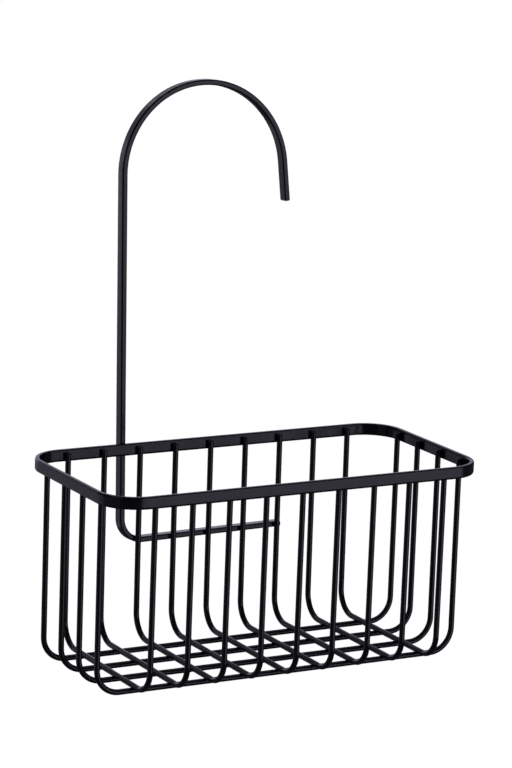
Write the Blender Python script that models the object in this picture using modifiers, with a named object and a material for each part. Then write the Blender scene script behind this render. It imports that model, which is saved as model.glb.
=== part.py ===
"""Shower caddy: a long basket of round wire under a flat-bar rim, hung from a flat-bar hook behind it.

Metres, +Z up. The long side runs along X, the front faces -Y, and the hook rises behind the basket at +Y.
The basket stands on its long wires at Z = 0, and the origin is under the middle of the whole object."""

import math

import bpy
from mathutils import Vector
from mathutils.geometry import intersect_line_line

# Basket, over the outside of the rim.
BASKET_LENGTH = 0.281
BASKET_DEPTH = 0.1405
BASKET_HEIGHT = 0.1398
CORNER_RADIUS = 0.026

# Rim: one flat bar standing on edge, closed into a ring.
RIM_HEIGHT = 0.008
RIM_THICKNESS = 0.003

# Wires: round wire bent to a U. Cross wires run front to back, and lie on the long wires.
WIRE_DIAMETER = 0.0037
WIRE_BEND = 0.0165  # centreline radius
CROSS_WIRES = 9
CROSS_MARGIN = 0.0058  # from the last straight place to the outermost cross wire
LONG_WIRES = 4
LONG_MARGIN = 0.0033  # the same for the long wires
WALL_DRAFT = 0.0009  # how far the front and back walls come in at the floor
WIRE_TOP_DROP = 0.0022  # wire ends below the rim's top edge

# Hanger: one flat bar with its wide side along the basket's depth: foot, stem, hook and tail.
BAR_WIDTH = 0.008
BAR_THICKNESS = 0.0037
STEM_BEFORE_WIRE = 0.01025  # stem's centreline left of the first wire that the foot crosses, at the rim's top
STEM_LEAN = math.radians(0.56)  # to the right, going up
HOOK_RISE = 0.1829  # rim's top edge to the start of the hook
HOOK_RADIUS = 0.0617  # centreline
HOOK_SWEEP = math.radians(174.6)
TAIL_LENGTH = 0.0275
FOOT_DROP = 0.0671  # rim's top edge to the foot's centreline, at the foot's end
FOOT_SLOPE = math.radians(0.68)  # rising towards its end
FOOT_BEND = 0.0152  # centreline radius
FOOT_FIRST_WIRE = 2  # the back wires that the foot crosses, counted from 0 at the left
FOOT_LAST_WIRE = 6
FOOT_OVERRUN = 0.0016  # past the last of them

# Fits and edges.
WELD_GAP = 0.0003  # left between two pieces where the real ones are welded
EDGE_ROUNDING = 0.0008
BEND_STEPS = 8
CORNER_STEPS = 10
HOOK_STEPS = 32
WIRE_SIDES_RESOLUTION = 4  # bevel_resolution 4 gives a wire 12 sides
EDGE_SEGMENTS = 3
BEVEL_ANGLE = math.radians(40)

POWDER_BLACK = (0.022, 0.022, 0.026, 1.0)

# Worked out from the values above.
WIRE_RADIUS = WIRE_DIAMETER / 2
WALL_STEP = RIM_THICKNESS + WELD_GAP + WIRE_RADIUS  # rim's outside to a wire's centreline
WIRE_TOP_Z = BASKET_HEIGHT - WIRE_TOP_DROP
RIM_BOTTOM_Z = BASKET_HEIGHT - RIM_HEIGHT
LONG_FLOOR_Z = WIRE_RADIUS
CROSS_FLOOR_Z = LONG_FLOOR_Z + WIRE_DIAMETER + WELD_GAP
LONG_HALF_SPAN = BASKET_LENGTH / 2 - WALL_STEP
CROSS_HALF_SPAN = BASKET_DEPTH / 2 - WALL_STEP


def clear_scene():
    for obj in list(bpy.data.objects):
        bpy.data.objects.remove(obj, do_unlink=True)


def new_collection(name):
    collection = bpy.data.collections.new(name)
    bpy.context.scene.collection.children.link(collection)
    return collection


def powder_coat(name):
    """Satin black powder coat. Each piece has its own copy."""
    material = bpy.data.materials.new(name + "_coat")
    material.use_nodes = True
    shader = material.node_tree.nodes["Principled BSDF"]
    shader.inputs["Base Color"].default_value = POWDER_BLACK
    shader.inputs["Roughness"].default_value = 0.42
    shader.inputs["Metallic"].default_value = 0.0
    return material


def arc(centre, radius, start, end, steps):
    """Points on an arc in a plane, both ends included."""
    angles = [start + (end - start) * i / steps for i in range(steps + 1)]
    return [centre + radius * Vector((math.cos(a), math.sin(a))) for a in angles]


def rounded_corner(before, corner, after, radius, steps):
    """The arc of this radius that replaces one corner of a path."""
    inward = (before - corner).normalized()
    outward = (after - corner).normalized()
    half_angle = inward.angle(outward) / 2
    centre = corner + (inward + outward).normalized() * radius / math.sin(half_angle)
    tangent = radius / math.tan(half_angle)
    first = corner + inward * tangent - centre
    last = corner + outward * tangent - centre
    start = math.atan2(first.y, first.x)
    turn = math.remainder(math.atan2(last.y, last.x) - start, 2 * math.pi)
    return arc(centre, radius, start, start + turn, steps)


def rounded_rectangle(length, width, radius):
    """A closed outline round the origin."""
    x, y = length / 2, width / 2
    corners = [Vector((x, y)), Vector((-x, y)), Vector((-x, -y)), Vector((x, -y))]
    points = []
    for i, corner in enumerate(corners):
        points += rounded_corner(corners[i - 1], corner, corners[(i + 1) % 4], radius, CORNER_STEPS)
    return points


def u_path(half_top, half_floor, floor_z):
    """A U in a vertical plane, as (across, z), from one wire end to the other."""
    left_top = Vector((-half_top, WIRE_TOP_Z))
    left_floor = Vector((-half_floor, floor_z))
    right_floor = Vector((half_floor, floor_z))
    right_top = Vector((half_top, WIRE_TOP_Z))
    left_bend = rounded_corner(left_top, left_floor, right_floor, WIRE_BEND, BEND_STEPS)
    right_bend = rounded_corner(left_floor, right_floor, right_top, WIRE_BEND, BEND_STEPS)
    return [left_top] + left_bend + right_bend + [right_top]


def spread(half_length, half_span, margin, count):
    """Even places for wires that stay on the rim's straight side and on the flat of the floor."""
    reach = min(half_length - CORNER_RADIUS, half_span - WIRE_BEND) - margin
    return [reach * (2 * i / (count - 1) - 1) for i in range(count)]


def cross_places():
    return spread(BASKET_LENGTH / 2, LONG_HALF_SPAN, CROSS_MARGIN, CROSS_WIRES)


def long_places():
    return spread(BASKET_DEPTH / 2, CROSS_HALF_SPAN - WALL_DRAFT, LONG_MARGIN, LONG_WIRES)


def add_curve(name, dimensions, paths, closed, collection):
    curve = bpy.data.curves.new(name, "CURVE")
    curve.dimensions = dimensions
    for path in paths:
        spline = curve.splines.new("POLY")
        spline.points.add(len(path) - 1)
        for point, place in zip(spline.points, path):
            point.co = (*place, 1.0)
        spline.use_cyclic_u = closed
        spline.use_smooth = True
    curve.materials.append(powder_coat(name))
    obj = bpy.data.objects.new(name, curve)
    collection.objects.link(obj)
    return obj


def add_wire(name, points, collection):
    obj = add_curve(name, "3D", [points], False, collection)
    obj.data.bevel_depth = WIRE_RADIUS
    obj.data.bevel_resolution = WIRE_SIDES_RESOLUTION
    obj.data.use_fill_caps = True
    return obj


def add_bar(name, outlines, thickness, collection):
    """A flat piece from outlines in its own XY plane, with its long edges rounded."""
    flat = [[(*point, 0.0) for point in outline] for outline in outlines]
    obj = add_curve(name, "2D", flat, True, collection)
    obj.data.fill_mode = "BOTH"
    obj.data.extrude = thickness / 2
    weld = obj.modifiers.new("Weld", "WELD")
    weld.merge_threshold = 0.00001
    bevel = obj.modifiers.new("Rounded edges", "BEVEL")
    bevel.width = EDGE_ROUNDING
    bevel.segments = EDGE_SEGMENTS
    bevel.limit_method = "ANGLE"
    bevel.angle_limit = BEVEL_ANGLE
    return obj


def add_rim(basket_y, collection):
    outer = rounded_rectangle(BASKET_LENGTH, BASKET_DEPTH, CORNER_RADIUS)
    inner_length = BASKET_LENGTH - 2 * RIM_THICKNESS
    inner_depth = BASKET_DEPTH - 2 * RIM_THICKNESS
    inner = rounded_rectangle(inner_length, inner_depth, CORNER_RADIUS - RIM_THICKNESS)
    rim = add_bar("rim", [outer, inner], RIM_HEIGHT, collection)
    rim.location = (0, basket_y, BASKET_HEIGHT - RIM_HEIGHT / 2)


def add_cross_wires(basket_y, collection):
    path = u_path(CROSS_HALF_SPAN, CROSS_HALF_SPAN - WALL_DRAFT, CROSS_FLOOR_Z)
    for i, x in enumerate(cross_places()):
        points = [(0, across, z) for across, z in path]
        wire = add_wire(f"cross_wire_{i + 1}", points, collection)
        wire.location = (x, basket_y, 0)


def add_long_wires(basket_y, collection):
    path = u_path(LONG_HALF_SPAN, LONG_HALF_SPAN, LONG_FLOOR_Z)
    for i, y in enumerate(long_places()):
        points = [(across, 0, z) for across, z in path]
        wire = add_wire(f"long_wire_{i + 1}", points, collection)
        wire.location = (0, basket_y + y, 0)


def hanger_edge(offset):
    """One long edge of the hanger as (x, up), this far outside its centreline.

    Up is measured along the tilted bar, from the rim's bottom edge."""
    up = Vector((math.sin(STEM_LEAN), math.cos(STEM_LEAN)))
    inside = Vector((up.y, -up.x))
    wires = cross_places()
    stem = Vector((wires[FOOT_FIRST_WIRE] - STEM_BEFORE_WIRE, RIM_HEIGHT)) - inside * offset
    hook_start = stem + up * HOOK_RISE
    hook_centre = hook_start + inside * (HOOK_RADIUS + offset)
    first_angle = math.pi - STEM_LEAN
    last_angle = first_angle - HOOK_SWEEP
    hook = arc(hook_centre, HOOK_RADIUS + offset, first_angle, last_angle, HOOK_STEPS)
    tip = hook[-1] + TAIL_LENGTH * Vector((math.sin(last_angle), -math.cos(last_angle)))

    along = Vector((math.cos(FOOT_SLOPE), math.sin(FOOT_SLOPE)))
    end_x = wires[FOOT_LAST_WIRE] + WIRE_RADIUS + FOOT_OVERRUN
    foot_end = Vector((end_x, RIM_HEIGHT - FOOT_DROP)) + offset * Vector((along.y, -along.x))
    lines = [point.to_3d() for point in (stem, stem + up, foot_end, foot_end + along)]
    corner = intersect_line_line(*lines)[0].to_2d()
    bend = rounded_corner(foot_end, corner, hook_start, FOOT_BEND + offset, CORNER_STEPS)
    return [foot_end] + bend + hook + [tip]


def hanger_tilt(outline):
    """The hanger bears on the rim's bottom edge and, lower down, on the back wires."""
    lowest = min(point.y for point in outline)
    wall_height = WIRE_TOP_Z - CROSS_FLOOR_Z
    down_the_wall = WIRE_TOP_Z - RIM_BOTTOM_Z - lowest
    wires_back = CROSS_HALF_SPAN + WIRE_RADIUS - WALL_DRAFT * down_the_wall / wall_height
    return math.atan2(BASKET_DEPTH / 2 - wires_back, -lowest)


def hanger_depth(outline, tilt):
    """How far the hanger's back reaches behind the rim's back."""
    highest = max(point.y for point in outline)
    return WELD_GAP + BAR_WIDTH * math.cos(tilt) + highest * math.sin(tilt)


def add_hanger(basket_y, outline, tilt, collection):
    hanger = add_bar("hanger", [outline], BAR_WIDTH, collection)
    hanger.rotation_euler = (math.pi / 2 - tilt, 0, 0)
    front_y = basket_y + BASKET_DEPTH / 2 + WELD_GAP
    middle = BAR_WIDTH / 2 * Vector((0, math.cos(tilt), -math.sin(tilt)))
    hanger.location = Vector((0, front_y, RIM_BOTTOM_Z)) + middle


def main():
    clear_scene()
    collection = new_collection("shower_caddy")
    outline = hanger_edge(BAR_THICKNESS / 2) + hanger_edge(-BAR_THICKNESS / 2)[::-1]
    tilt = hanger_tilt(outline)
    basket_y = -hanger_depth(outline, tilt) / 2
    add_rim(basket_y, collection)
    add_cross_wires(basket_y, collection)
    add_long_wires(basket_y, collection)
    add_hanger(basket_y, outline, tilt, collection)


main()
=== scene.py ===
import math

import bmesh
import bpy
from bpy.props import FloatProperty, FloatVectorProperty, IntProperty, PointerProperty
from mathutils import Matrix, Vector


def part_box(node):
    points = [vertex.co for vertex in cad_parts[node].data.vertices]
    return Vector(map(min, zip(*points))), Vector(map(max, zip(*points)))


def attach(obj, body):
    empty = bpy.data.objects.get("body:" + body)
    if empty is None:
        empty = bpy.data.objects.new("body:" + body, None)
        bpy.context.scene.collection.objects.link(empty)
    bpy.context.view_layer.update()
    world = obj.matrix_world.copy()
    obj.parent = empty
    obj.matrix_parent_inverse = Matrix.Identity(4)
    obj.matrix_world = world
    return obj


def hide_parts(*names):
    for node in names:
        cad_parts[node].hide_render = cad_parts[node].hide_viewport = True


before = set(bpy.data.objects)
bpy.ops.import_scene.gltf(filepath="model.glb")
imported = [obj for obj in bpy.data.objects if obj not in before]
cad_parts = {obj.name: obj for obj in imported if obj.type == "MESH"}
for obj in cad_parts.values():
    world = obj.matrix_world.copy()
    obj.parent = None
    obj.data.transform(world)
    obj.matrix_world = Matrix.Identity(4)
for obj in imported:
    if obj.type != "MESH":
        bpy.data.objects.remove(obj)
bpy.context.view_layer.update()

bl_info = {
    "name": "Shower caddy",
    "version": (1, 0, 0),
    "blender": (4, 5, 0),
    "location": "3D View > Sidebar > Caddy",
    "description": "Builds a powder-coated wire shower caddy around its CAD frame",
    "category": "Add Mesh",
}

ROOT = "root"
MM = 0.001
QUARTER_TURN = math.pi / 2
MERGE_DISTANCE = 0.000001
SHARP_EDGE_DEGREES = 40.0
FLAT_SIDE_WEIGHT = 75
LEVEL_NORMAL = 0.5

CROSS_NAMES = [f"cross_wire_{i}" for i in range(1, 10)]
LONG_NAMES = [f"long_wire_{i}" for i in range(1, 5)]
# The hanger's foot crosses the third to the seventh cross wire.
FOOT_FIRST = 2
FOOT_LAST = 6

WIRE_END_STEPS = 3
BEAD_CHAMFER = 0.2
BEAD_LEVELS = 2
# Where a noise texture's values mostly lie.
NOISE_LOW = 0.3
NOISE_HIGH = 0.7
# Where an edge's pointiness starts to show, and where it is full.
EDGE_START = 0.53
EDGE_FULL = 0.62

SENSOR_WIDTH = 36.0
FARTHEST_SEEN = 50.0
FLOOR_ROUGHNESS = 0.9
LIGHT_AIM = Vector((0, 0, 0.18))
LIGHT_DISTANCE = 3.0
# Each softbox: its name, bearing, height, width and tallness in degrees, and brightness.
SOFTBOXES = (
    ("back_paper", 82, 3, 74, 26, 0.8),
    ("back_paper_top", 88, 33, 66, 34, 0.24),
    ("front_right_box", 298, -10, 56, 26, 0.86),
    ("front_right_strip", 298, 7, 56, 8, 1.3),
    ("low_back_fill", 120, -19, 60, 22, 0.28),
    ("low_left_fill", 180, -19, 56, 22, 0.1),
    ("left_fill", 195, 16, 28, 16, 0.45),
    ("top_fill", 30, 62, 44, 30, 0.4),
)
# A small warm light close to the hook, which pales the hook's outer side.
HOOK_LIGHT = ("hook_light", 86, 32, 32, 9, 3.4)
HOOK_LIGHT_TINT = (1.0, 0.95, 0.93)
HOOK_LIGHT_DISTANCE = 0.6
HOOK_AIM = Vector((-0.02, 0.08, 0.38))


# ---------------------------------------------------------------- places read from the frame


def centre_of(node):
    low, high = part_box(node)
    return (low + high) / 2


def size_of(node):
    low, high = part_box(node)
    return high - low


RIM_LOW, RIM_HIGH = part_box("rim")
BASKET_Y = centre_of("rim").y
CROSS_LOW, CROSS_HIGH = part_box(CROSS_NAMES[0])
LONG_LOW, LONG_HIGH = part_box(LONG_NAMES[0])


# ---------------------------------------------------------------- sizes and colours


def length(name, description, default):
    return FloatProperty(name=name, description=description, default=default, min=0.0, unit="LENGTH")


def angle(name, description, degrees):
    return FloatProperty(
        name=name, description=description, default=math.radians(degrees), subtype="ANGLE"
    )


def share(name, description, default):
    return FloatProperty(
        name=name, description=description, default=default, min=0.0, max=1.0, subtype="FACTOR"
    )


def steps(name, description, default):
    return IntProperty(name=name, description=description, default=default, min=3, max=256)


def colour(name, description, default):
    return FloatVectorProperty(
        name=name, description=description, default=default, size=3, min=0.0, max=1.0, subtype="COLOR"
    )


class CADDY_PG_rim(bpy.types.PropertyGroup):
    thickness: length("Thickness", "Thickness of the flat bar", 0.003)
    corner: length("Corner radius", "Outer radius of the four corners", 0.026)
    rounding: length("Edge rounding", "Along the bar's long edges, across its thickness", 0.0007)
    stretch: FloatProperty(
        name="Rounding stretch", description="Times longer along the height than across", default=2.4
    )
    corner_steps: steps("Corner steps", "Faces round each corner", 28)
    edge_steps: steps("Edge steps", "Faces across each rounded edge", 5)


class CADDY_PG_wire(bpy.types.PropertyGroup):
    diameter: length("Diameter", "Diameter of the round wire", 0.0037)
    bend: length("Bend radius", "Radius of the bends, along the wire's middle", 0.0165)
    draft: length("Wall draft", "How far the front and back walls come in at the floor", 0.0009)
    set_down: length("Set-down", "How far a cross wire is pressed towards the long wires", 0.0009)
    pressed: length("Pressed to rim", "How far a wire's ends are pressed towards the rim", 0.0002)
    end_rounding: length("End rounding", "Radius round the cut ends", 0.00045)
    sides: steps("Sides", "Faces round the wire", 28)
    bend_steps: steps("Bend steps", "Faces along each bend", 18)


class CADDY_PG_hanger(bpy.types.PropertyGroup):
    width: length("Width", "Wide side of the flat bar, along the basket's depth", 0.008)
    thickness: length("Thickness", "Narrow side of the flat bar", 0.0037)
    rounding: length("Edge rounding", "Radius along the bar's long edges", 0.0011)
    before_wire: length("Stem before wire", "Stem's middle, left of the wire beside it", 0.01025)
    lean: angle("Stem lean", "To the right, going up", 0.56)
    rise: length("Hook rise", "Rim's top edge to the start of the hook", 0.1829)
    hook: length("Hook radius", "Along the bar's middle", 0.0617)
    sweep: angle("Hook sweep", "How far round the hook turns", 174.6)
    tail: length("Tail", "Straight end of the hook", 0.0275)
    foot_drop: length("Foot drop", "Rim's top edge to the foot's middle, at its end", 0.0671)
    foot_slope: angle("Foot slope", "Rising towards its end", 0.68)
    foot_bend: length("Foot bend", "Radius along the bar's middle", 0.0152)
    overrun: length("Foot overrun", "Past the last wire that it crosses", 0.0025)
    tilt: angle("Tilt", "Leaning back from upright", 3.462)
    gap: length("Weld gap", "Between the stem and the rim", 0.0003)
    bend_steps: steps("Bend steps", "Faces along the foot's bend", 24)
    hook_steps: steps("Hook steps", "Faces along the hook", 96)
    edge_steps: steps("Edge steps", "Faces across each rounded edge", 5)


class CADDY_PG_weld(bpy.types.PropertyGroup):
    width: length("Width", "Width of a bead across the wire", 0.0021)
    bite: length("Bite", "How deep a bead reaches into each piece", 0.0006)
    lap: length("Lap", "Length of a bead along a wire's lapped end", 0.0044)
    spread: length("Spread", "Width of a bead where two wires cross", 0.0025)
    stem_width: length("Stem width", "Width of the bead between stem and rim", 0.0030)
    stem_depth: length("Stem depth", "Depth of the bead between stem and rim", 0.0016)
    stem_lap: length("Stem lap", "Height of the bead between stem and rim", 0.0068)


class CADDY_PG_coat(bpy.types.PropertyGroup):
    film: length("Film", "Thickness of the coat on the bare metal", 0.00012)
    black: colour("Coat", "Main colour of the powder coat", (0.0050, 0.0046, 0.0080))
    thin: colour("Thin coat", "Where the powder lies thinner", (0.0090, 0.0086, 0.0130))
    patches: length("Patches", "Width of the soft patches of thin coat", 0.012)
    thin_patches: share("Thin in patches", "Share of thin coat in a patch", 0.45)
    thin_edges: share("Thin on edges", "Share of thin coat along an edge", 0.5)
    roughness: share("Roughness", "Middle of the coat's roughness", 0.19)
    uneven: share("Uneven gloss", "How far the roughness strays from its middle", 0.04)
    gloss: length("Gloss patches", "Width of the patches of uneven gloss", 0.004)
    peel: length("Orange peel", "Width of the coat's ripples", 0.0014)
    peel_depth: length("Peel depth", "Height of the ripples", 0.000005)
    grain: length("Grain", "Width of the coat's fine grain", 0.00022)
    grain_depth: length("Grain depth", "Height of the fine grain", 0.0000006)


class CADDY_PG_stage(bpy.types.PropertyGroup):
    azimuth: angle("Azimuth", "Camera's direction round the caddy", -28.966)
    elevation: angle("Elevation", "Camera's height above the horizon", 12.145)
    roll: angle("Roll", "Camera's roll", 2.026)
    distance: FloatProperty(
        name="Distance", description="Camera to the caddy", default=2.2352, min=0.1, unit="LENGTH"
    )
    lens: FloatProperty(name="Lens", description="Focal length in millimetres", default=156.518)
    aim_side: FloatProperty(
        name="Aim to the side", description="Aim point beside the middle", default=-0.00218, unit="LENGTH"
    )
    aim_height: length("Aim height", "Height of the aim point", 0.19125)
    floor_width: FloatProperty(
        name="Floor width", description="Width of the floor", default=14.0, min=0.1, unit="LENGTH"
    )
    floor_colour: colour("Floor", "Colour of the floor", (0.08, 0.08, 0.08))
    floor_glow: share("Floor glow", "Light that the floor gives off, so that it meets the backdrop", 1.0)
    light: colour("Light", "Colour of the studio light", (0.80, 0.785, 1.0))
    room: share("Room", "Brightness of the room beyond the lights", 0.055)


# ---------------------------------------------------------------- small modelling steps


def deselect_all():
    """Object mode, with nothing selected."""
    if bpy.context.object and bpy.context.object.mode != "OBJECT":
        bpy.ops.object.mode_set(mode="OBJECT")
    bpy.ops.object.select_all(action="DESELECT")


def select_only(obj):
    deselect_all()
    obj.select_set(True)
    bpy.context.view_layer.objects.active = obj


def select_faces(obj, wanted):
    """Selects the faces that wanted() accepts, in edit mode."""
    bpy.ops.mesh.select_mode(type="FACE")
    bpy.ops.mesh.select_all(action="DESELECT")
    mesh = bmesh.from_edit_mesh(obj.data)
    for face in mesh.faces:
        if wanted(face):
            face.select_set(True)
    mesh.select_flush_mode()
    bmesh.update_edit_mesh(obj.data)


def select_edges(obj, wanted):
    """Selects the edges that wanted() accepts, in edit mode."""
    bpy.ops.mesh.select_mode(type="EDGE")
    bpy.ops.mesh.select_all(action="DESELECT")
    mesh = bmesh.from_edit_mesh(obj.data)
    for edge in mesh.edges:
        if wanted(edge):
            edge.select_set(True)
    mesh.select_flush_mode()
    bmesh.update_edit_mesh(obj.data)


def extrude(move):
    bpy.ops.mesh.extrude_region_move(TRANSFORM_OT_translate={"value": move})


def spin(centre, axis, turn, count):
    """Draws the selected face round a centre, by the right-hand rule about axis."""
    bpy.ops.mesh.spin(steps=count, angle=-turn, center=centre, axis=axis)


def close_mesh(obj):
    """Merges doubles and turns every face outwards, in edit mode, then leaves it."""
    bpy.ops.mesh.select_all(action="SELECT")
    bpy.ops.mesh.remove_doubles(threshold=MERGE_DISTANCE)
    bpy.ops.mesh.normals_make_consistent(inside=False)
    mesh = bmesh.from_edit_mesh(obj.data)
    if any(not edge.is_manifold for edge in mesh.edges):
        raise RuntimeError(f"{obj.name} isn't closed")
    if mesh.calc_volume(signed=True) < 0:
        bpy.ops.mesh.flip_normals()
    bpy.ops.object.mode_set(mode="OBJECT")


def settle(obj):
    """Puts the piece's place into its mesh."""
    select_only(obj)
    bpy.ops.object.transform_apply(location=True, rotation=True, scale=True)


def round_edges(obj, width, count):
    """Rounds the edges that are sharper than SHARP_EDGE_DEGREES."""
    select_only(obj)
    bevel = obj.modifiers.new("Rounded edges", "BEVEL")
    bevel.width = width
    bevel.segments = count
    bevel.limit_method = "ANGLE"
    bevel.angle_limit = math.radians(SHARP_EDGE_DEGREES)
    bpy.ops.object.modifier_apply(modifier=bevel.name)


def smooth(obj):
    """Smooth shading that keeps flat sides flat."""
    select_only(obj)
    bpy.ops.object.shade_smooth()
    flats = obj.modifiers.new("Flat sides", "WEIGHTED_NORMAL")
    flats.weight = FLAT_SIDE_WEIGHT
    bpy.ops.object.modifier_apply(modifier=flats.name)


def copy_to(obj, name, move):
    """A copy with its own mesh, moved."""
    select_only(obj)
    bpy.ops.object.duplicate(linked=False)
    copy = bpy.context.object
    copy.name = name
    copy.data.name = name
    bpy.ops.transform.translate(value=move)
    settle(copy)
    return copy


def join(pieces, name):
    deselect_all()
    for piece in pieces:
        piece.select_set(True)
    bpy.context.view_layer.objects.active = pieces[0]
    bpy.ops.object.join()
    joined = bpy.context.object
    joined.name = name
    joined.data.name = name
    return joined


def hand_over(obj, *replaced):
    """Coats a finished piece, and ties it to the frame."""
    obj.data.materials.clear()
    obj.data.materials.append(powder_coat())
    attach(obj, ROOT)
    if replaced:
        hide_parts(*replaced)
    deselect_all()


# ---------------------------------------------------------------- powder coat


class Nodes:
    """Adds nodes to a node tree, each linked to what feeds it."""

    def __init__(self, tree):
        self.tree = tree

    def add(self, kind, **inputs):
        node = self.tree.nodes.new(kind)
        for name, value in inputs.items():
            self.feed(node, name.replace("_", " "), value)
        return node

    def feed(self, node, name, value):
        socket = node.inputs[name]
        if isinstance(value, bpy.types.NodeSocket):
            self.tree.links.new(value, socket)
        else:
            socket.default_value = value


def noise(nodes, place, width, detail):
    node = nodes.add("ShaderNodeTexNoise", Vector=place, Scale=1 / width, Detail=detail)
    return node.outputs["Fac"]


def spread_out(nodes, value, low, high):
    """Maps the middle of a noise to low and high."""
    node = nodes.add("ShaderNodeMapRange", Value=value)
    node.inputs["From Min"].default_value = NOISE_LOW
    node.inputs["From Max"].default_value = NOISE_HIGH
    node.inputs["To Min"].default_value = low
    node.inputs["To Max"].default_value = high
    return node.outputs["Result"]


def coat_colour(nodes, place, coat):
    """Black, a little lighter in soft patches and along the edges, where powder lies thinner."""
    patches = spread_out(nodes, noise(nodes, place, coat.patches, detail=3.0), 0.0, coat.thin_patches)
    bend = nodes.add("ShaderNodeNewGeometry").outputs["Pointiness"]
    edges = nodes.add("ShaderNodeMapRange", Value=bend)
    edges.inputs["From Min"].default_value = EDGE_START
    edges.inputs["From Max"].default_value = EDGE_FULL
    edges.inputs["To Max"].default_value = coat.thin_edges
    both = nodes.add("ShaderNodeMath")
    both.operation = "ADD"
    both.use_clamp = True
    nodes.feed(both, 0, patches)
    nodes.feed(both, 1, edges.outputs["Result"])
    mixed = nodes.add("ShaderNodeMix")
    mixed.data_type = "RGBA"
    nodes.feed(mixed, 0, both.outputs[0])
    nodes.feed(mixed, 6, (*coat.black, 1.0))
    nodes.feed(mixed, 7, (*coat.thin, 1.0))
    return mixed.outputs[2]


def coat_surface(nodes, place, coat):
    """Orange peel with a fine grain on it."""
    peel = nodes.add("ShaderNodeBump", Height=noise(nodes, place, coat.peel, detail=2.0), Strength=1.0)
    peel.inputs["Distance"].default_value = coat.peel_depth
    grain = nodes.add("ShaderNodeBump", Height=noise(nodes, place, coat.grain, detail=1.0), Strength=1.0)
    grain.inputs["Distance"].default_value = coat.grain_depth
    nodes.feed(grain, "Normal", peel.outputs["Normal"])
    return grain.outputs["Normal"]


def powder_coat():
    """Satin black powder coat, made once."""
    made = bpy.data.materials.get("black_powder_coat")
    if made:
        return made
    coat = bpy.context.scene.caddy_coat
    material = bpy.data.materials.new("black_powder_coat")
    material.use_nodes = True
    nodes = Nodes(material.node_tree)
    shader = material.node_tree.nodes["Principled BSDF"]
    place = nodes.add("ShaderNodeTexCoord").outputs["Object"]
    gloss = noise(nodes, place, coat.gloss, detail=4.0)
    low = coat.roughness - coat.uneven
    high = coat.roughness + coat.uneven
    nodes.feed(shader, "Base Color", coat_colour(nodes, place, coat))
    nodes.feed(shader, "Roughness", spread_out(nodes, gloss, low, high))
    nodes.feed(shader, "Normal", coat_surface(nodes, place, coat))
    shader.inputs["Metallic"].default_value = 0.0
    shader.inputs["IOR"].default_value = 1.5
    return material


# ---------------------------------------------------------------- rim


def make_rim():
    """A block rounded at its corners, inset on top and below, and bridged into a band."""
    rim = bpy.context.scene.caddy_rim
    film = bpy.context.scene.caddy_coat.film
    coated = size_of("rim") + Vector((2, 2, 2)) * film
    deselect_all()
    bpy.ops.mesh.primitive_cube_add(size=1.0, location=centre_of("rim"), scale=coated)
    band = bpy.context.object
    band.name = "rim_band"
    settle(band)
    bpy.ops.object.mode_set(mode="EDIT")
    select_edges(band, lambda edge: abs(edge.verts[0].co.z - edge.verts[1].co.z) > MM)
    bpy.ops.mesh.bevel(offset=rim.corner + film, segments=rim.corner_steps, affect="EDGES")
    select_faces(band, lambda face: abs(face.normal.z) > LEVEL_NORMAL)
    bpy.ops.mesh.inset(thickness=rim.thickness + 2 * film, use_even_offset=True)
    bpy.ops.mesh.bridge_edge_loops()
    close_mesh(band)
    scale_height(band, 1 / rim.stretch)
    round_edges(band, rim.rounding, rim.edge_steps)
    scale_height(band, rim.stretch)
    smooth(band)
    return band


def scale_height(band, factor):
    """Squeezes or stretches the band's height, so that its rounding comes out longer downwards."""
    select_only(band)
    middle = centre_of("rim")
    bpy.ops.transform.resize(value=(1, 1, factor), center_override=middle)
    settle(band)


class CADDY_OT_rim(bpy.types.Operator):
    """Models the rim: one flat bar standing on edge, closed into a ring"""

    bl_idname = "caddy.rim"
    bl_label = "Rim"

    def execute(self, context):
        hand_over(make_rim(), "rim")
        return {"FINISHED"}


# ---------------------------------------------------------------- wires


def make_wire(name, top, floor, lean):
    """A U in the YZ plane: down, round the bend, along the floor, round the bend and up.

    top and floor are the first end and the first bend's corner, both on the wire's middle."""
    wire = bpy.context.scene.caddy_wire
    film = bpy.context.scene.caddy_coat.film
    turn = QUARTER_TURN - lean
    tangent = wire.bend * math.tan(turn / 2)
    down = (floor - top).normalized()
    across = Vector((0, 1, 0))
    far_side = 2 * (BASKET_Y - floor.y)
    bend_start = floor - down * tangent
    bend_end = floor + across * tangent
    bend_centre = bend_end + Vector((0, 0, wire.bend))
    floor_run = far_side - 2 * tangent
    deselect_all()
    bpy.ops.mesh.primitive_circle_add(
        vertices=wire.sides,
        radius=wire.diameter / 2 + film,
        fill_type="NGON",
        location=top,
        rotation=(lean, 0, 0),
        enter_editmode=True,
    )
    piece = bpy.context.object
    piece.name = name
    extrude(bend_start - top)
    spin(bend_centre, (1, 0, 0), turn, wire.bend_steps)
    extrude(across * floor_run)
    spin(bend_centre + across * floor_run, (1, 0, 0), turn, wire.bend_steps)
    extrude(mirrored_up(top, bend_start))
    close_mesh(piece)
    settle(piece)
    round_cut_ends(piece, top.z, wire.end_rounding)
    smooth(piece)
    return piece


def mirrored_up(top, bend_start):
    """The last straight run, which rises as the first one falls."""
    run = top - bend_start
    return Vector((run.x, -run.y, run.z))


def round_cut_ends(piece, top_z, rounding):
    """Rounds the rim of both cut ends."""
    select_only(piece)
    bpy.ops.object.mode_set(mode="EDIT")
    select_edges(piece, lambda edge: all(v.co.z > top_z - MM for v in edge.verts))
    bpy.ops.mesh.bevel(offset=rounding, segments=WIRE_END_STEPS, affect="EDGES")
    bpy.ops.object.mode_set(mode="OBJECT")


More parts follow.
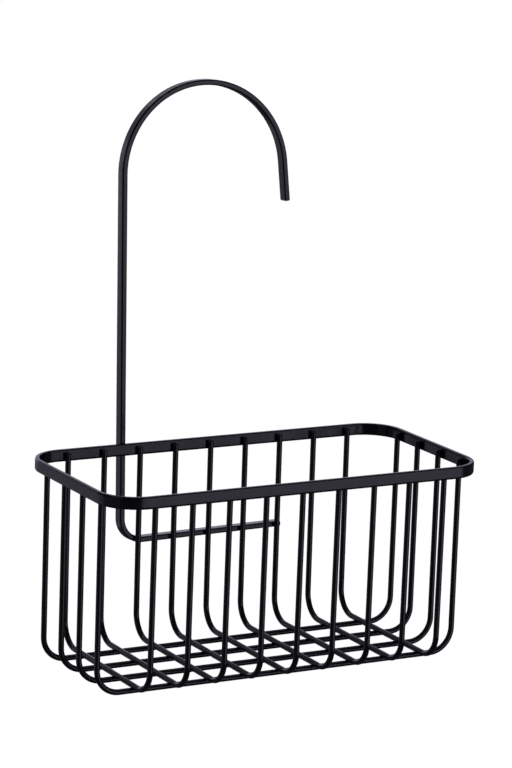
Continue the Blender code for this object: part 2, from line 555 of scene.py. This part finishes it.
class CADDY_OT_cross_wires(bpy.types.Operator):
    """Models the nine wires that run front to back, bent up at both walls"""

    bl_idname = "caddy.cross_wires"
    bl_label = "Cross wires"

    def execute(self, context):
        wire = context.scene.caddy_wire
        radius = wire.diameter / 2
        x = centre_of(CROSS_NAMES[0]).x
        wall = CROSS_LOW.y + radius - wire.pressed
        top = Vector((x, wall, CROSS_HIGH.z))
        floor = Vector((x, wall + wire.draft, CROSS_LOW.z + radius - wire.set_down))
        lean = math.atan2(wire.draft, top.z - floor.z)
        first = make_wire("cross_wire_piece_1", top, floor, lean)
        wires = [first]
        for i, node in enumerate(CROSS_NAMES[1:], start=2):
            move = (centre_of(node).x - x, 0, 0)
            wires.append(copy_to(first, f"cross_wire_piece_{i}", move))
        for piece, node in zip(wires, CROSS_NAMES):
            hand_over(piece, node)
        return {"FINISHED"}


class CADDY_OT_long_wires(bpy.types.Operator):
    """Models the four wires that run along the basket, bent up at both ends"""

    bl_idname = "caddy.long_wires"
    bl_label = "Long wires"

    def execute(self, context):
        wire = context.scene.caddy_wire
        radius = wire.diameter / 2
        half_span = size_of(LONG_NAMES[0]).x / 2 - radius + wire.pressed
        top = Vector((0, BASKET_Y - half_span, LONG_HIGH.z))
        floor = Vector((0, BASKET_Y - half_span, radius))
        first = make_wire("long_wire_piece_1", top, floor, 0.0)
        turn_round_basket(first)
        wires = [first]
        y = centre_of(LONG_NAMES[0]).y
        for i, node in enumerate(LONG_NAMES[1:], start=2):
            move = (0, centre_of(node).y - y, 0)
            wires.append(copy_to(first, f"long_wire_piece_{i}", move))
        for piece, node in zip(wires, LONG_NAMES):
            hand_over(piece, node)
        return {"FINISHED"}


def turn_round_basket(piece):
    """Turns the first long wire from the YZ plane to its own place along X."""
    select_only(piece)
    pivot = (0, BASKET_Y, 0)
    bpy.ops.transform.rotate(value=QUARTER_TURN, orient_axis="Z", center_override=pivot)
    settle(piece)
    side = centre_of(LONG_NAMES[0]).y - BASKET_Y
    bpy.ops.transform.translate(value=(0, side, 0))
    settle(piece)


# ---------------------------------------------------------------- hanger


class HangerPath:
    """The hanger's middle line in an upright plane, as (x, 0, height above the rim's lower edge)."""

    def __init__(self, hanger):
        wires = [centre_of(node).x for node in CROSS_NAMES]
        rim_height = RIM_HIGH.z - RIM_LOW.z
        up = Vector((math.sin(hanger.lean), 0, math.cos(hanger.lean)))
        inside = Vector((up.z, 0, -up.x))
        stem = Vector((wires[FOOT_FIRST] - hanger.before_wire, 0, rim_height))
        self.hook_start = stem + up * hanger.rise
        self.hook_centre = self.hook_start + inside * hanger.hook
        along = Vector((math.cos(hanger.foot_slope), 0, math.sin(hanger.foot_slope)))
        end_x = wires[FOOT_LAST] + bpy.context.scene.caddy_wire.diameter / 2 + hanger.overrun
        self.foot_end = Vector((end_x, 0, rim_height - hanger.foot_drop))
        self.turn = along.angle(up)
        corner = crossing(stem, up, self.foot_end, along)
        tangent = hanger.foot_bend * math.tan((math.pi - self.turn) / 2)
        self.bend_start = corner + along * tangent
        self.bend_end = corner + up * tangent
        normal = Vector((-along.z, 0, along.x))
        self.bend_centre = self.bend_start + normal * hanger.foot_bend
        last = math.pi - hanger.lean - hanger.sweep
        self.tail = Vector((math.sin(last), 0, -math.cos(last)))


def crossing(first, first_way, second, second_way):
    """Where two lines in the XZ plane cross."""
    apart = second - first
    cross = first_way.x * second_way.z - first_way.z * second_way.x
    along = (apart.x * second_way.z - apart.z * second_way.x) / cross
    return first + first_way * along


def make_hanger():
    """A flat section drawn along the foot, bend, stem, hook and tail, then tilted back."""
    hanger = bpy.context.scene.caddy_hanger
    film = bpy.context.scene.caddy_coat.film
    path = HangerPath(hanger)
    deselect_all()
    bpy.ops.mesh.primitive_plane_add(
        size=1.0,
        location=path.foot_end,
        rotation=(0, QUARTER_TURN - hanger.foot_slope, 0),
        enter_editmode=True,
    )
    bar = bpy.context.object
    bar.name = "hanger_bar"
    section = (hanger.thickness + 2 * film, hanger.width + 2 * film, 1.0)
    bpy.ops.transform.resize(value=section, orient_type="LOCAL", center_override=path.foot_end)
    extrude(path.bend_start - path.foot_end)
    spin(path.bend_centre, (0, 1, 0), math.pi - path.turn, hanger.bend_steps)
    extrude(path.hook_start - path.bend_end)
    spin(path.hook_centre, (0, 1, 0), hanger.sweep, hanger.hook_steps)
    extrude(path.tail * hanger.tail)
    close_mesh(bar)
    settle(bar)
    round_edges(bar, hanger.rounding, hanger.edge_steps)
    lean_back(bar, hanger)
    smooth(bar)
    return bar


def lean_back(bar, hanger):
    """Moves the bar behind the rim and tilts it about its own front edge, level with the rim's lower edge."""
    select_only(bar)
    pivot = Vector((0, RIM_HIGH.y + hanger.gap, RIM_LOW.z))
    middle = Vector((0, hanger.width / 2, 0))
    bpy.ops.transform.translate(value=pivot + middle)
    settle(bar)
    bpy.ops.transform.rotate(value=hanger.tilt, orient_axis="X", center_override=pivot)
    settle(bar)


class CADDY_OT_hanger(bpy.types.Operator):
    """Models the hanger: one flat bar bent into foot, stem, hook and tail"""

    bl_idname = "caddy.hanger"
    bl_label = "Hanger"

    def execute(self, context):
        hand_over(make_hanger(), "hanger")
        return {"FINISHED"}


# ---------------------------------------------------------------- welds


def make_bead(name, place, size):
    """A small fused bead: a block subdivided and rounded into a cushion shape."""
    deselect_all()
    bpy.ops.mesh.primitive_cube_add(size=1.0, location=place, scale=size)
    bead = bpy.context.object
    bead.name = name
    settle(bead)
    bpy.ops.object.mode_set(mode="EDIT")
    bpy.ops.mesh.select_all(action="SELECT")
    bpy.ops.mesh.bevel(offset=min(size) * BEAD_CHAMFER, segments=1, affect="EDGES")
    bpy.ops.object.mode_set(mode="OBJECT")
    round_off = bead.modifiers.new("Fused", "SUBSURF")
    round_off.levels = BEAD_LEVELS
    round_off.render_levels = BEAD_LEVELS
    bpy.ops.object.modifier_apply(modifier=round_off.name)
    bpy.ops.object.shade_smooth()
    return bead


def bead_copies(first, place, places):
    return [first] + [
        copy_to(first, f"{first.name}_{i}", other - place) for i, other in enumerate(places, start=1)
    ]


def make_rim_welds():
    """One bead behind each lapped wire end, on the rim's inner side."""
    weld = bpy.context.scene.caddy_weld
    wire = bpy.context.scene.caddy_wire
    thickness = bpy.context.scene.caddy_rim.thickness
    z = (RIM_LOW.z + CROSS_HIGH.z) / 2
    gap = CROSS_LOW.y - RIM_LOW.y - thickness
    depth = gap + 2 * weld.bite
    front = RIM_LOW.y + thickness + gap / 2
    back = RIM_HIGH.y - thickness - gap / 2
    left = RIM_LOW.x + thickness + gap / 2
    right = RIM_HIGH.x - thickness - gap / 2
    cross = [Vector((centre_of(node).x, y, z)) for node in CROSS_NAMES for y in (front, back)]
    long = [Vector((x, centre_of(node).y, z)) for node in LONG_NAMES for x in (left, right)]
    first = make_bead("cross_bead", cross[0], (weld.width, depth, weld.lap))
    beads = bead_copies(first, cross[0], cross[1:])
    first = make_bead("long_bead", long[0], (depth, weld.width, weld.lap))
    beads += bead_copies(first, long[0], long[1:])
    return join(beads, "rim_welds")


def make_floor_welds():
    """One bead where each cross wire lies on each long wire."""
    weld = bpy.context.scene.caddy_weld
    low = LONG_LOW.z + bpy.context.scene.caddy_wire.diameter
    high = CROSS_LOW.z
    depth = high - low + 2 * weld.bite
    z = (high + low) / 2
    places = [
        Vector((centre_of(cross).x, centre_of(long).y, z)) for cross in CROSS_NAMES for long in LONG_NAMES
    ]
    first = make_bead("floor_bead", places[0], (weld.spread, weld.spread, depth))
    return join(bead_copies(first, places[0], places[1:]), "floor_welds")


def make_hanger_welds():
    """One bead where the stem meets the rim, and one where the foot meets each back wire."""
    weld = bpy.context.scene.caddy_weld
    hanger = bpy.context.scene.caddy_hanger
    path = HangerPath(hanger)
    rim_y = RIM_HIGH.y + hanger.gap
    stem_x = path.hook_start.x - hanger.rise * math.tan(hanger.lean)
    at_rim = Vector((stem_x, rim_y, RIM_LOW.z + weld.stem_lap / 2))
    bead = make_bead("stem_bead", at_rim, (weld.stem_width, weld.stem_depth, weld.stem_lap))
    places = []
    for node in CROSS_NAMES[FOOT_FIRST:FOOT_LAST + 1]:
        x = centre_of(node).x
        drop = path.foot_end.z - (path.foot_end.x - x) * math.tan(hanger.foot_slope)
        foot_y = rim_y + drop * math.sin(hanger.tilt)
        places.append(Vector((x, foot_y, RIM_LOW.z + drop * math.cos(hanger.tilt))))
    first = make_bead("foot_bead", places[0], (weld.width, 2 * weld.bite, weld.spread))
    return join([bead, *bead_copies(first, places[0], places[1:])], "hanger_welds")


class CADDY_OT_welds(bpy.types.Operator):
    """Models the welds at the lapped wire ends, the floor crossings and the hanger"""

    bl_idname = "caddy.welds"
    bl_label = "Welds"

    def execute(self, context):
        hand_over(make_rim_welds())
        hand_over(make_floor_welds())
        hand_over(make_hanger_welds())
        return {"FINISHED"}


# ---------------------------------------------------------------- stage


def make_floor(stage):
    deselect_all()
    bpy.ops.mesh.primitive_plane_add(size=stage.floor_width, location=(0, 0, 0))
    floor = bpy.context.object
    floor.name = "floor"
    material = bpy.data.materials.new("pale_floor")
    material.use_nodes = True
    shader = material.node_tree.nodes["Principled BSDF"]
    shader.inputs["Base Color"].default_value = (*stage.floor_colour, 1.0)
    shader.inputs["Roughness"].default_value = FLOOR_ROUGHNESS
    shader.inputs["Specular IOR Level"].default_value = 0.0
    shader.inputs["Emission Color"].default_value = (1.0, 1.0, 1.0, 1.0)
    shader.inputs["Emission Strength"].default_value = stage.floor_glow
    floor.data.materials.append(material)
    floor.visible_glossy = False
    floor.visible_diffuse = False
    floor.visible_shadow = False


def make_camera(stage):
    """A long lens at the front left, looking a little down on the rim."""
    azimuth, elevation = stage.azimuth, stage.elevation
    back = Vector((
        math.sin(azimuth) * math.cos(elevation),
        -math.cos(azimuth) * math.cos(elevation),
        math.sin(elevation),
    ))
    aim = Vector((stage.aim_side, BASKET_Y, stage.aim_height))
    bpy.ops.object.camera_add(location=aim + back * stage.distance)
    camera = bpy.context.object
    camera.name = "camera"
    camera.rotation_mode = "QUATERNION"
    camera.data.lens = stage.lens
    camera.data.sensor_width = SENSOR_WIDTH
    camera.data.clip_end = FARTHEST_SEEN
    roll_camera(camera, back, stage.roll)
    bpy.context.scene.camera = camera


def roll_camera(camera, back, roll):
    """Turns the camera to look against back, rolled about its own line of sight."""
    turn = back.to_track_quat("Z", "Y").to_matrix()
    right = turn.col[0] * math.cos(roll) + turn.col[1] * math.sin(roll)
    up = back.cross(right)
    turn.col[0] = right
    turn.col[1] = up
    turn.col[2] = back
    camera.rotation_quaternion = turn.to_quaternion()


def make_softbox(name, bearing, height, wide, tall, brightness, tint, aim, distance):
    """A soft light that faces its aim point.

    bearing turns from the right towards the back, and height is above the horizon, both in degrees,
    as are wide and tall. A white light of brightness 1 looks as white as the floor."""
    turn = math.radians(bearing)
    rise = math.radians(height)
    way = Vector((math.cos(turn) * math.cos(rise), math.sin(turn) * math.cos(rise), math.sin(rise)))
    bpy.ops.object.light_add(type="AREA", location=aim + way * distance)
    light = bpy.context.object
    light.name = name
    light.rotation_mode = "QUATERNION"
    light.rotation_quaternion = way.to_track_quat("Z", "Y")
    light.data.shape = "RECTANGLE"
    light.data.size = 2 * distance * math.tan(math.radians(wide / 2))
    light.data.size_y = 2 * distance * math.tan(math.radians(tall / 2))
    light.data.energy = brightness * math.pi * light.data.size * light.data.size_y
    light.data.color = tint
    light.visible_camera = False


def make_lights(stage):
    """White paper behind, a box and a strip at the front right, weak fill, and the hook's own light."""
    for box in SOFTBOXES:
        make_softbox(*box, stage.light, LIGHT_AIM, LIGHT_DISTANCE)
    make_softbox(*HOOK_LIGHT, HOOK_LIGHT_TINT, HOOK_AIM, HOOK_LIGHT_DISTANCE)


def make_world(stage):
    """Plain white to the camera, and a dim room to everything else."""
    world = bpy.data.worlds.new("studio")
    world.use_nodes = True
    tree = world.node_tree
    plain = tree.nodes["Background"]
    plain.inputs["Color"].default_value = (1.0, 1.0, 1.0, 1.0)
    room = tree.nodes.new("ShaderNodeBackground")
    room.inputs["Color"].default_value = (*stage.light, 1.0)
    room.inputs["Strength"].default_value = stage.room
    seen = tree.nodes.new("ShaderNodeLightPath")
    mix = tree.nodes.new("ShaderNodeMixShader")
    tree.links.new(seen.outputs["Is Camera Ray"], mix.inputs[0])
    tree.links.new(room.outputs[0], mix.inputs[1])
    tree.links.new(plain.outputs[0], mix.inputs[2])
    tree.links.new(mix.outputs[0], tree.nodes["World Output"].inputs["Surface"])
    bpy.context.scene.world = world


class CADDY_OT_stage(bpy.types.Operator):
    """Sets up the floor, the lights and the camera"""

    bl_idname = "caddy.stage"
    bl_label = "Stage"

    def execute(self, context):
        stage = context.scene.caddy_stage
        make_floor(stage)
        make_camera(stage)
        make_world(stage)
        make_lights(stage)
        context.scene.view_settings.view_transform = "Standard"
        return {"FINISHED"}


# ---------------------------------------------------------------- panel and registration


class CADDY_PT_panel(bpy.types.Panel):
    """Lists the caddy's operators"""

    bl_idname = "CADDY_PT_panel"
    bl_label = "Shower caddy"
    bl_space_type = "VIEW_3D"
    bl_region_type = "UI"
    bl_category = "Caddy"

    def draw(self, context):
        for operator in OPERATORS:
            self.layout.operator(operator.bl_idname)


GROUPS = {
    "caddy_rim": CADDY_PG_rim,
    "caddy_wire": CADDY_PG_wire,
    "caddy_hanger": CADDY_PG_hanger,
    "caddy_weld": CADDY_PG_weld,
    "caddy_coat": CADDY_PG_coat,
    "caddy_stage": CADDY_PG_stage,
}
OPERATORS = (
    CADDY_OT_rim,
    CADDY_OT_cross_wires,
    CADDY_OT_long_wires,
    CADDY_OT_hanger,
    CADDY_OT_welds,
    CADDY_OT_stage,
)


def register():
    for group in GROUPS.values():
        bpy.utils.register_class(group)
    for name, group in GROUPS.items():
        setattr(bpy.types.Scene, name, PointerProperty(type=group))
    for cls in (*OPERATORS, CADDY_PT_panel):
        bpy.utils.register_class(cls)


def unregister():
    for cls in (CADDY_PT_panel, *reversed(OPERATORS)):
        bpy.utils.unregister_class(cls)
    for name in GROUPS:
        delattr(bpy.types.Scene, name)
    for group in reversed(GROUPS.values()):
        bpy.utils.unregister_class(group)


def main():
    register()
    bpy.ops.caddy.rim()
    bpy.ops.caddy.cross_wires()
    bpy.ops.caddy.long_wires()
    bpy.ops.caddy.hanger()
    bpy.ops.caddy.welds()
    bpy.ops.caddy.stage()


if __name__ == "__main__":
    main()
